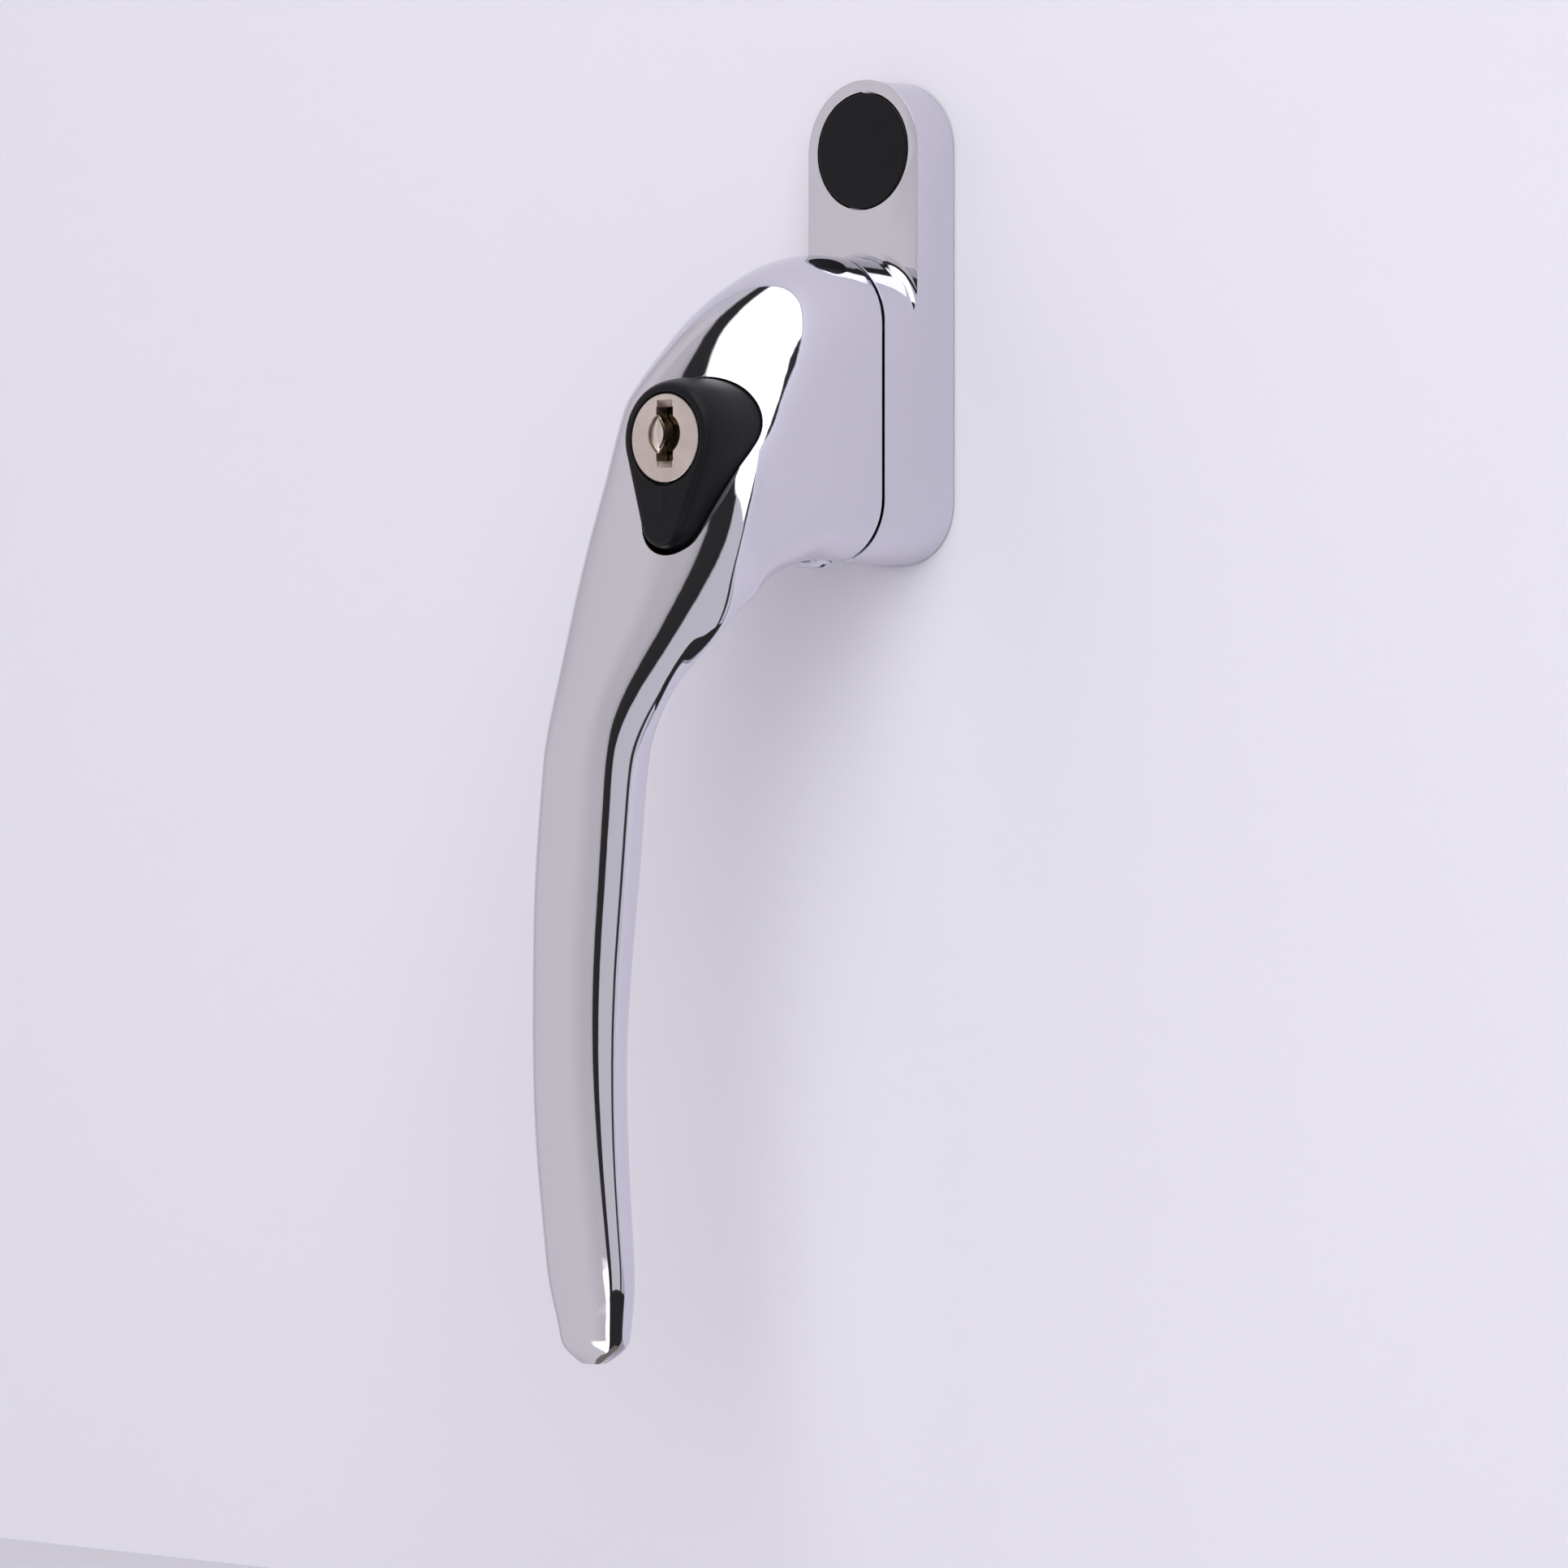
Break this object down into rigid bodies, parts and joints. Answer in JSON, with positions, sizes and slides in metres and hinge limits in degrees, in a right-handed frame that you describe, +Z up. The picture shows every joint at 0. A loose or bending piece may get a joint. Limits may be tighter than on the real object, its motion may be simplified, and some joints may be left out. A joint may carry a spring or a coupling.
{
  "type": "keyed window handle",
  "caption": "Cranked chrome window handle on a two-screw base with a square spindle, a black push-to-lock button with a key cylinder, and a black cap over the upper screw.",
  "frame": {"origin": "on the base's mounting face, midway between the spindle axis and the upper screw, 10.75 mm above the spindle axis", "axes": "+X to the right as seen by a person in the room facing the window, +Y into the window along the spindle, +Z up; the lever hangs down at rest"},
  "size_m": [0.0265, 0.0881, 0.1518],
  "materials": {
    "polished_chrome": "polished",
    "satin_nickel": "satin",
    "zinc_plated_steel": "bright zinc plate",
    "cast_zinc": "as cast",
    "brass": "bright",
    "black_plastic": "satin",
    "white_nylon": "matte"
  },
  "bodies": {
    "base": {"base_plate": "polished_chrome", "screw_cap": "black_plastic", "fixing_screw_upper": "zinc_plated_steel", "fixing_screw_lower": "zinc_plated_steel", "pivot_bush": "white_nylon", "detent_roller": "zinc_plated_steel", "detent_spring": "zinc_plated_steel"},
    "lever": {"lever": "polished_chrome", "spindle": "zinc_plated_steel", "spindle_pin": "zinc_plated_steel", "click_washer": "zinc_plated_steel", "retaining_clip": "zinc_plated_steel", "wave_washer": "zinc_plated_steel", "pin_stop_screw": "polished_chrome", "button_spring": "zinc_plated_steel"},
    "button": {"push_button": "black_plastic", "lock_barrel": "cast_zinc", "locking_pin": "zinc_plated_steel"},
    "plug": {"lock_plug": "satin_nickel", "lock_cam": "zinc_plated_steel", "wafer_1": "brass", "wafer_2": "brass", "wafer_3": "brass", "wafer_4": "brass", "wafer_spring_1": "zinc_plated_steel", "wafer_spring_2": "zinc_plated_steel", "wafer_spring_3": "zinc_plated_steel", "wafer_spring_4": "zinc_plated_steel"}
  },
  "joints": [
    {"name": "lever_turn", "type": "hinge", "parent": "base", "child": "lever", "pos_m": [0, 0, -0.01075], "axis": [0, 1, 0], "range_deg": [0, 90]},
    {"name": "button_push", "type": "slide", "parent": "lever", "child": "button", "axis": [0, 1, 0], "range_m": [0, 0.004], "deforming": ["button_spring"]},
    {"name": "key_turn", "type": "hinge", "parent": "button", "child": "plug", "pos_m": [0, -0.036, -0.02505], "axis": [0, 1, 0], "range_deg": [0, 90]}
  ]
}
